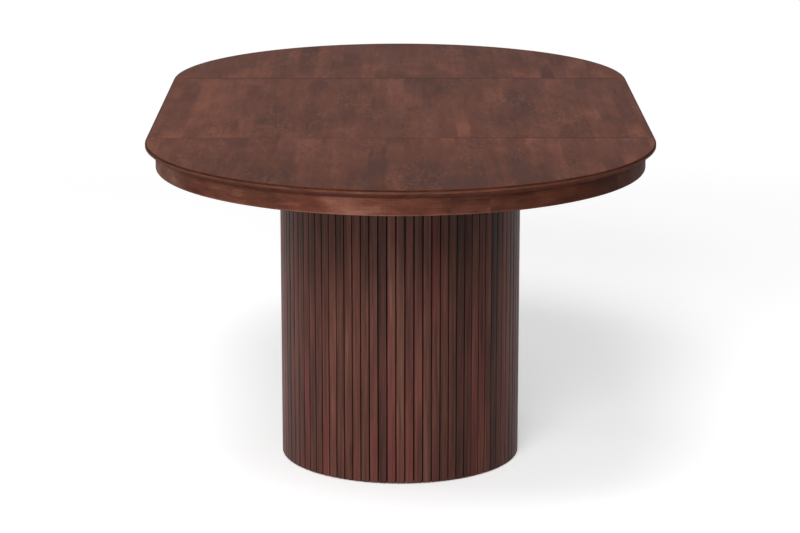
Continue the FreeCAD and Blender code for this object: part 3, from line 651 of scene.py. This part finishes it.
def dark_core():
    """The skin behind the slats, painted nearly black so that the gaps read as shadow."""
    shader = Shader("dark_core")
    place = own_place(shader)
    patches = shader.noise(place, *PLAIN_GRAIN["core_patches"])
    fibres = shader.noise(place, *PLAIN_GRAIN["core_fibres"])
    stops = [(0.2, srgb(20, 8, 5)), (0.8, srgb(32, 14, 10))]
    level = weighted(shader, NOISE_MIDDLE, (patches, CORE_SWAY))
    shader.set(colour=shader.ramp(level, stops), gloss=CORE_GLOSS)
    shader.roughened(fibres, *CORE_ROUGH)
    shader.bumped(fibres, STAINED_GRAIN_DEEP, SKIN_SHOWN)
    return shader.material


def edge_stain_and_shade(name, dark, light):
    """A dark edge: in the seams the stain has gathered and dried dark, on the rim's rounding the dark is
    painted shade, and the lip under the rim has a colour of its own.
    """
    shader = Shader(name)
    place = own_place(shader)
    grain = {
        "fibres": shader.noise(place, *PLAIN_GRAIN["edge_fibres"]),
        "wear": shader.noise(place, *PLAIN_GRAIN["edge_wear"]),
    }
    level = swayed(shader, NOISE_MIDDLE, grain, EDGE_SWAY)
    shader.set(colour=shader.ramp(level, [(0.25, dark), (0.8, light)]), gloss=DULL_GLOSS)
    shader.roughened(grain["fibres"], *WOOD_ROUGH)
    return shader.material


def worn_steel(name, light, dark, roughness):
    """Steel with a faint mottle and fine rub marks."""
    shader = Shader(name)
    place = own_place(shader)
    mottle = shader.noise(place, *PLAIN_GRAIN["steel_mottle"])
    rubs = shader.noise(place, *PLAIN_GRAIN["steel_rubs"])
    shader.set(colour=shader.ramp(mottle, [(0.3, light), (0.7, dark)]), metallic=1.0)
    shader.roughened(rubs, roughness, roughness + STEEL_ROUGHER)
    shader.bumped(rubs, STEEL_RUBS_DEEP, SKIN_SHOWN)
    return shader.material


def black_nylon():
    shader = Shader("black_nylon")
    place = own_place(shader)
    grain = shader.noise(place, *PLAIN_GRAIN["nylon_grain"])
    clouds = shader.noise(place, *PLAIN_GRAIN["nylon_clouds"])
    stops = [(0.35, srgb(34, 33, 34)), (0.65, srgb(44, 43, 44))]
    shader.set(colour=shader.ramp(clouds, stops), gloss=NYLON_GLOSS)
    shader.set(roughness=shader.between(grain, *NYLON_ROUGH_SPAN, *NYLON_ROUGH))
    shader.bumped(grain, NYLON_GRAIN_DEEP, SKIN_SHOWN)
    return shader.material


# Meshes with a grain direction


class Build:
    """Collects corners, and faces with their slot, their tone and the corners' places in the wood."""

    def __init__(self):
        self.corners = []
        self.faces = []
        self.grains = []
        self.slots = []
        self.tones = []
        self.wood = Vector()

    def corner(self, point):
        self.corners.append(tuple(point))
        return len(self.corners) - 1

    def face(self, corners, grains, slot=TOP_SLOT, tone=0.5):
        self.faces.append(tuple(corners))
        self.grains.append(list(grains))
        self.slots.append(slot)
        self.tones.append(tone)

    def end_face(self, outline, flip, tone):
        """The closed end of a length, its wood following the table's own axes."""
        corners = outline[::-1] if flip else outline
        self.face(corners, [self.corners[corner] for corner in corners], tone=tone)

    def band_face(self, rings, index, run, reach, flip=False, slot=TOP_SLOT, tone=0.5):
        """The face between two rings that follows a point of the section, its grain from ring to ring.

        run says how far each point is along the section, and reach how far each ring is along
        the grain.
        """
        ring, next_ring = rings
        near, far = reach
        after = (index + 1) % len(ring)
        here, there = run[index], run[index + 1]
        corners = [ring[index], next_ring[index], next_ring[after], ring[after]]
        grains = [(here, near, 0), (here, far, 0), (there, far, 0), (there, near, 0)]
        if flip:
            corners.reverse()
            grains.reverse()
        self.face(corners, grains, slot, tone)

    def piece(self, name, body, materials, replaced):
        mesh = bpy.data.meshes.new(name)
        mesh.from_pydata(self.corners, [], self.faces)
        spots = [number for face in self.grains for spot in face for number in spot]
        grain = mesh.attributes.new("grain", "FLOAT_VECTOR", "CORNER")
        grain.data.foreach_set("vector", spots)
        tone = mesh.attributes.new("tone", "FLOAT", "FACE")
        tone.data.foreach_set("value", self.tones)
        mesh.polygons.foreach_set("material_index", self.slots)
        mesh.polygons.foreach_set("use_smooth", [True] * len(self.faces))
        for material in materials:
            mesh.materials.append(material)
        mesh.update()
        mesh.set_sharp_from_angle(angle=CRISP)
        item = bpy.data.objects.new(name, mesh)
        bpy.context.scene.collection.objects.link(item)
        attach(item, body)
        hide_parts(*replaced)
        return item


def arc(centre_x, centre_z, radius, start, steps):
    """Points through a quarter turn, clockwise from an angle in degrees."""
    turns = [math.radians(start - 90 * step / steps) for step in range(steps + 1)]
    return [(centre_x + radius * math.cos(turn), centre_z + radius * math.sin(turn)) for turn in turns]


def rim_section(reach, inner, low, high):
    """The moulded edge from the top face down to the underside."""
    points = arc(reach - RIM_ROUND, high - RIM_ROUND, RIM_ROUND, 90, RIM_STEPS)
    points.append((reach, high - RIM_FACE))
    points.append((reach - LIP_IN, high - LIP_DEEP))
    points.append((inner, low))
    return points


def rim_slot(index):
    """The finish of a face of the rim: its rounding, its flat face and all below have one each."""
    if index < RIM_STEPS:
        return ROUNDING_SLOT
    return RIM_SLOT if index == RIM_STEPS else UNDER_RIM_SLOT


def apron_section(outer, low, high):
    """The apron's section from its upper inner corner, clockwise."""
    lower_edge = arc(outer - APRON_ROUND, low + APRON_ROUND, APRON_ROUND, 0, APRON_STEPS)
    return [(outer - APRON_THICK, high), (outer, high)] + lower_edge + [(outer - APRON_THICK, low)]


def painted_highlight(index):
    """How much paler a face of the apron is painted: its lower rounding, which follows the top and the
    outer face, carries a painted highlight.
    """
    return PAINTED_EDGE_HIGHLIGHT if 2 <= index < 2 + APRON_STEPS else 0


def section_run(points):
    """How far each point is along its section."""
    run = [0.0]
    for (x0, z0), (x1, z1) in zip(points, points[1:]):
        run.append(run[-1] + math.hypot(x1 - x0, z1 - z0))
    return run


def half_frame(half):
    """The half's seam, the way it faces (+1 for the rear half, -1 for the front one) and its radius."""
    low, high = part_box(f"{half}_top")
    seam, way, tip = (high.y, -1, low.y) if half == "front" else (low.y, 1, high.y)
    return seam, way, abs(tip - seam)


HALVES = {half: half_frame(half) for half in ("front", "rear")}


def turn_point(half, radius, turn, height):
    """A point of a half at a turn in degrees from the middle of its rim, +X side positive."""
    seam, way, _ = HALVES[half]
    angle = math.radians(turn)
    return (radius * math.sin(angle), seam + way * radius * math.cos(angle), height)


def turned_ring(build, half, section, turn):
    return [build.corner(turn_point(half, radius, turn, z)) for radius, z in section]


def arris_at(half, x, reach):
    """How wide the seam's arris is at x: the front joint is tight but for its right part."""
    run_out = min(1, (reach - abs(x)) / ARRIS_RUN_OUT)
    if half == "rear":
        return ARRIS * run_out
    opened = min(1, max(0, (x - OPEN_FROM) / OPEN_OVER))
    return (TIGHT_ARRIS + (ARRIS - TIGHT_ARRIS) * opened) * run_out


def arris_strip(build, half, seam, inward, reach, high):
    """The broken edge along a seam from -X to +X: its upper corners, then its lower ones."""
    upper, lower = [], []
    for step in range(1, ARRIS_STEPS):
        x = reach * (2 * step / ARRIS_STEPS - 1)
        width = arris_at(half, x, reach)
        upper.append(build.corner((x, seam + inward * width, high)))
        lower.append(build.corner((x, seam, high - width)))
    return upper, lower


def flat_face(build, corners, upward, slot=TOP_SLOT):
    """A face whose wood follows the table's own axes, seen from the given side."""
    points = [Vector(build.corners[corner]) for corner in corners]
    doubled = Vector()
    for first, second in zip(points, points[1:] + points[:1]):
        doubled += first.cross(second)
    if doubled.dot(Vector(upward)) < 0:
        corners = corners[::-1]
    build.face(corners, [Vector(build.corners[corner]) + build.wood for corner in corners], slot)


def arris_faces(build, ends, upper, lower, upward):
    """The strip's faces between the panel's two end corners on the seam."""
    tops = [ends[0]] + upper + [ends[1]]
    bottoms = [ends[0]] + lower + [ends[1]]
    for step in range(len(tops) - 1):
        corners = [tops[step], tops[step + 1], bottoms[step + 1], bottoms[step]]
        flat_face(build, list(dict.fromkeys(corners)), upward, SEAM_SLOT)


def half_panel(half, woods):
    low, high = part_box(f"{half}_top")
    seam, way, reach = HALVES[half]
    section = rim_section(reach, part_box(f"{half}_apron")[1].x, low.z, high.z)
    run = section_run(section)
    turns = [-90 + 180 * step / TURN_STEPS for step in range(TURN_STEPS + 1)]
    build = Build()
    build.wood = Vector(PANEL_WOOD[half])
    rings = [turned_ring(build, half, section, turn) for turn in turns]
    rounds = [math.radians(turn) * reach for turn in turns]
    for step in range(TURN_STEPS):
        for index in range(len(section) - 1):
            pair = rings[step:step + 2]
            build.band_face(pair, index, run, rounds[step:step + 2], way > 0, rim_slot(index))
    upper, lower = arris_strip(build, half, seam, way, section[0][0], high.z)
    flat_face(build, [ring[0] for ring in rings] + upper[::-1], (0, 0, 1))
    flat_face(build, [ring[-1] for ring in rings], (0, 0, -1))
    flat_face(build, rings[0][::-1] + lower + rings[-1], (0, -way, 0))
    arris_faces(build, (rings[0][0], rings[-1][0]), upper, lower, (0, -way, 1))
    return build.piece(f"{half}_panel", f"{half}_half", woods, [f"{half}_top"])


def leaf_panel(woods):
    low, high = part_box("leaf_top")
    reach = min(high.x, HALVES["front"][2])
    right = rim_section(reach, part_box("leaf_apron_right")[1].x, low.z, high.z)
    left = [(-x, z) for x, z in reversed(right)]
    section = right + left
    run = section_run(section)
    build = Build()
    build.wood = Vector(PANEL_WOOD["leaf"])
    near = [build.corner((x, low.y, z)) for x, z in section]
    far = [build.corner((x, high.y, z)) for x, z in section]
    faces = len(section) - 1
    for index in range(faces):
        if index == len(right) - 1:
            flat_face(build, [near[index], far[index], far[index + 1], near[index + 1]], (0, 0, -1))
            continue
        slot = rim_slot(min(index, faces - 1 - index))
        build.band_face((near, far), index, run, (low.y, high.y), slot=slot)
    uppers = {}
    for half, seam, inward, ring in (("front", low.y, 1, near), ("rear", high.y, -1, far)):
        uppers[half], lower = arris_strip(build, half, seam, inward, section[0][0], high.z)
        arris_faces(build, (ring[-1], ring[0]), uppers[half], lower, (0, -inward, 1))
        flat_face(build, ring + lower, (0, -inward, 0))
    top = [near[-1]] + uppers["front"] + [near[0], far[0]] + uppers["rear"][::-1] + [far[-1]]
    flat_face(build, top, (0, 0, 1))
    return build.piece("leaf_panel", "leaf", woods, ["leaf_top"])


def tone_at(stops, turn):
    """The tone at a turn, straight between the stops."""
    for (start, low), (end, high) in zip(stops, stops[1:]):
        if turn <= end:
            return low + (high - low) * (turn - start) / (end - start)
    return stops[-1][1]


def curved_apron(half, joints, tones, wood):
    low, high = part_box(f"{half}_apron")
    section = apron_section(high.x, low.z, high.z)
    run = section_run(section + section[:1])
    way = HALVES[half][1]
    build = Build()
    ring = first_ring = turned_ring(build, half, section, joints[0])
    for length, (start, end) in enumerate(zip(joints, joints[1:])):
        steps = max(2, round(TURN_STEPS * (end - start) / 180))
        turns = [start + (end - start) * step / steps for step in range(steps + 1)]
        own = CURVED_WOOD_STEP * length
        own_run = [spot + own for spot in run]
        for near_turn, far_turn in zip(turns, turns[1:]):
            next_ring = turned_ring(build, half, section, far_turn)
            reach = [math.radians(turn) * high.x + own for turn in (near_turn, far_turn)]
            middle_tone = tone_at(tones, (near_turn + far_turn) / 2)
            for index in range(len(section)):
                # The lower rounding's tone is raised: a painted highlight
                tone = middle_tone + painted_highlight(index)
                build.band_face((ring, next_ring), index, own_run, reach, way > 0, tone=tone)
            ring = next_ring
    build.end_face(first_ring, way > 0, tones[0][1])
    build.end_face(ring, way < 0, tones[-1][1])
    return build.piece(f"{half}_apron_band", f"{half}_half", [wood], [f"{half}_apron"])


def straight_apron(side, wood):
    node = f"leaf_apron_{side}"
    low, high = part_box(node)
    section = apron_section(max(abs(low.x), abs(high.x)), low.z, high.z)
    run = section_run(section + section[:1])
    mirror = 1 if side == "right" else -1
    joints = [abs(share) * (high.y if share > 0 else low.y) for share in LEAF_APRON_JOINT_SHARES]
    build = Build()
    ring = first_ring = [build.corner((mirror * x, joints[0], z)) for x, z in section]
    for start, end, tone in zip(joints, joints[1:], LEAF_APRON_TONES):
        next_ring = [build.corner((mirror * x, end, z)) for x, z in section]
        own_run = [spot + STRAIGHT_WOOD_STEP * tone for spot in run]
        for index in range(len(section)):
            # The lower rounding's tone is raised: a painted highlight
            shade = tone + painted_highlight(index)
            build.band_face((ring, next_ring), index, own_run, (start, end), mirror < 0, tone=shade)
        ring = next_ring
    build.end_face(first_ring, mirror < 0, LEAF_APRON_TONES[0])
    build.end_face(ring, mirror > 0, LEAF_APRON_TONES[-1])
    return build.piece(f"{node}_band", "leaf", [wood], [node])


def slat_section(wide, out, back):
    """A slat's plan, counter-clockwise, its two front edges rounded."""
    half = wide / 2
    right = arc(half - SLAT_EDGE, out - SLAT_EDGE, SLAT_EDGE, 90, SLAT_EDGE_STEPS)
    left = [(-x, y) for x, y in right]
    return [(half, back)] + right[::-1] + left + [(-half, back)]


def slat(build, turn, section, low, high, own, tone):
    """One slat at its turn round the drum; own is where it lies in its wood."""
    lower, upper = [], []
    for x, y in section:
        place = (x * math.cos(turn) - y * math.sin(turn), x * math.sin(turn) + y * math.cos(turn))
        lower.append(build.corner((*place, low)))
        upper.append(build.corner((*place, high)))
    for index, (x, y) in enumerate(section):
        after = (index + 1) % len(section)
        next_x, next_y = section[after]
        corners = [lower[index], lower[after], upper[after], upper[index]]
        spots = [(x, low, y), (next_x, low, next_y), (next_x, high, next_y), (x, high, y)]
        is_side = index in (0, len(section) - 2)
        # The side walls inside the gaps are painted darker: painted shade
        shade = tone - SLAT_SIDE_SHADE * is_side
        build.face(corners, [Vector(spot) + own for spot in spots], tone=shade)
    build.face(upper, [Vector((x, high, y)) + own for x, y in section], tone=tone)
    build.face(lower[::-1], [Vector((x, low, y)) + own for x, y in reversed(section)], tone=tone)


def slats(wood):
    low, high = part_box("drum_slats")
    out = high.y
    wide = 2 * math.pi * out / SLAT_COUNT - SLAT_GAP
    draw = random.Random(SLAT_SEED)
    tone = SLAT_FIRST_TONE
    build = Build()
    for number in range(SLAT_COUNT):
        proud = draw.uniform(-SLAT_OUT_OF_LINE, 0)
        tone = SLAT_ALIKE * tone + (1 - SLAT_ALIKE) * draw.gauss(SLAT_TONE, SLAT_SPREAD)
        own = Vector([draw.uniform(0, reach) for reach in SLAT_WOOD])
        section = slat_section(wide, out + proud, out - SLAT_THICK)
        slat(build, 2 * math.pi * number / SLAT_COUNT, section, low.z, high.z, own, tone)
    return build.piece("slat_cladding", "pedestal", [wood], ["drum_slats"])


# Finishes for the frame's own solids

DARK_STEEL_NODES = ("ballast_plate", "stop_dogs")


def dress_frame():
    finishes = {
        "stained_core": dark_core(),
        "plywood": layered_board("birch_plywood", srgb(206, 176, 132), srgb(160, 122, 84)),
        "softwood": plain_wood("pine", srgb(214, 182, 134), srgb(178, 136, 88), 2),
        "beech": plain_wood("beech", srgb(196, 160, 118), srgb(158, 118, 80), 1),
        "nylon": black_nylon(),
        "steel": worn_steel("zinc_steel", srgb(176, 178, 182), srgb(146, 148, 152), STEEL_ROUGH),
    }
    dark_steel = worn_steel("dark_steel", srgb(96, 97, 100), srgb(70, 71, 74), DARK_STEEL_ROUGH)
    for part in frame["record"]["subparts"]:
        item = frame["nodes"][part["node"]]
        finish = finishes.get(part["material_slot"])
        if part["node"] in DARK_STEEL_NODES:
            finish = dark_steel
        if finish:
            item.data.materials.clear()
            item.data.materials.append(finish)


# Floor, light and camera


def floor():
    """A pale floor that turns into plain white away from the table, and keeps the table's shadow."""
    mesh = bpy.data.meshes.new("floor")
    signs = ((-1, -1), (1, -1), (1, 1), (-1, 1))
    mesh.from_pydata([(x * FLOOR_REACH, y * FLOOR_REACH, 0) for x, y in signs], [], [(0, 1, 2, 3)])
    item = bpy.data.objects.new("floor", mesh)
    bpy.context.scene.collection.objects.link(item)
    shader = Shader("pale_floor")
    shader.set(colour=FLOOR_PALE, roughness=FLOOR_ROUGH, gloss=0.0)
    path = shader.add("ShaderNodeLightPath")
    seen = shader.sum("MAXIMUM", path.outputs["Is Camera Ray"], path.outputs["Is Glossy Ray"])
    seen = shader.sum("MAXIMUM", seen, path.outputs["Is Transmission Ray"])
    bounce = shader.add("ShaderNodeBsdfDiffuse", {}, {"Color": FLOOR_BOUNCE}).outputs[0]
    away = shader.add("ShaderNodeVectorMath", {"operation": "LENGTH"}, {0: own_place(shader)})
    away = away.outputs["Value"]
    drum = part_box("drum_slats")[1].y
    # No glow under the drum: the floor there stays darker, a painted shade seen through the slats' gaps
    # and along the drum's foot
    open_floor = shader.between(away, drum - FLOOR_FOOT, drum, 0.0, FLOOR_GLOW)
    glow = shader.add("ShaderNodeEmission", {}, {"Color": WHITE, "Strength": open_floor})
    lit = shader.add("ShaderNodeAddShader", {}, {0: shader.surface.outputs[0], 1: glow.outputs[0]})
    white = shader.add("ShaderNodeEmission", {}, {"Color": WHITE, "Strength": 1.0})
    faded = shader.between(away, *FLOOR_FADE)
    bright = shader.add("ShaderNodeMixShader", {}, {0: faded, 1: lit.outputs[0], 2: white.outputs[0]})
    mix = shader.add("ShaderNodeMixShader", {}, {0: seen, 1: bounce, 2: bright.outputs[0]})
    shader.feed(shader.tree.nodes["Material Output"].inputs["Surface"], mix.outputs[0])
    mesh.materials.append(shader.material)


def world(strength):
    """Even light from all round, seen as plain white."""
    scene_world = bpy.data.worlds.new("studio")
    bpy.context.scene.world = scene_world
    scene_world.use_nodes = True
    tree = scene_world.node_tree
    tree.nodes.clear()
    path = tree.nodes.new("ShaderNodeLightPath")
    seen = path.outputs["Is Camera Ray"]
    for ray in ("Is Glossy Ray", "Is Transmission Ray"):
        either = tree.nodes.new("ShaderNodeMath")
        either.operation = "MAXIMUM"
        tree.links.new(seen, either.inputs[0])
        tree.links.new(path.outputs[ray], either.inputs[1])
        seen = either.outputs[0]
    mix = tree.nodes.new("ShaderNodeMixShader")
    tree.links.new(seen, mix.inputs[0])
    for socket, level in ((mix.inputs[1], strength), (mix.inputs[2], 1.0)):
        background = tree.nodes.new("ShaderNodeBackground")
        background.inputs["Color"].default_value = WHITE
        background.inputs["Strength"].default_value = level
        tree.links.new(background.outputs[0], socket)
    output = tree.nodes.new("ShaderNodeOutputWorld")
    tree.links.new(mix.outputs[0], output.inputs["Surface"])


def softbox(name, place, size, power):
    lamp = bpy.data.lights.new(name, "AREA")
    lamp.shape = "RECTANGLE"
    lamp.size, lamp.size_y = size
    lamp.energy = power
    item = bpy.data.objects.new(name, lamp)
    item.location = place
    item.rotation_euler = (Vector(LIGHT_AIM) - Vector(place)).to_track_quat("-Z", "Y").to_euler()
    bpy.context.scene.collection.objects.link(item)


def camera():
    """The photograph's view: along the table, a little above it, with a long lens."""
    lens = bpy.data.cameras.new("camera")
    lens.sensor_width = CAMERA_SENSOR
    lens.lens = CAMERA_LENS
    item = bpy.data.objects.new("camera", lens)
    item.location = CAMERA_PLACE
    item.rotation_euler = (math.radians(90 - CAMERA_DOWN), 0, CAMERA_TURN)
    bpy.context.scene.collection.objects.link(item)
    bpy.context.scene.camera = item


seam_edge = edge_stain_and_shade("seam_edge", srgb(24, 12, 9), srgb(40, 22, 16))
# The rim's upper rounding is painted dark: painted shade
rim_rounding_shade = edge_stain_and_shade("rim_rounding_shade", srgb(46, 20, 11), srgb(76, 38, 24))
under_rim = edge_stain_and_shade("under_rim", srgb(84, 47, 38), srgb(112, 69, 58))
top_woods = [stained_top(), rim_finish(), seam_edge, rim_rounding_shade, under_rim]
apron_wood = apron_finish()
half_panel("front", top_woods)
half_panel("rear", top_woods)
leaf_panel(top_woods)
curved_apron("front", FRONT_APRON_JOINTS, FRONT_APRON_TONES, apron_wood)
curved_apron("rear", REAR_APRON_JOINTS, REAR_APRON_TONES, apron_wood)
straight_apron("left", apron_wood)
straight_apron("right", apron_wood)
slats(slat_finish())
dress_frame()

floor()
world(EVEN_LIGHT)
for name, (place, size, power) in LIGHTS.items():
    softbox(name, place, size, power)
camera()
bpy.context.scene.view_settings.view_transform = "Standard"
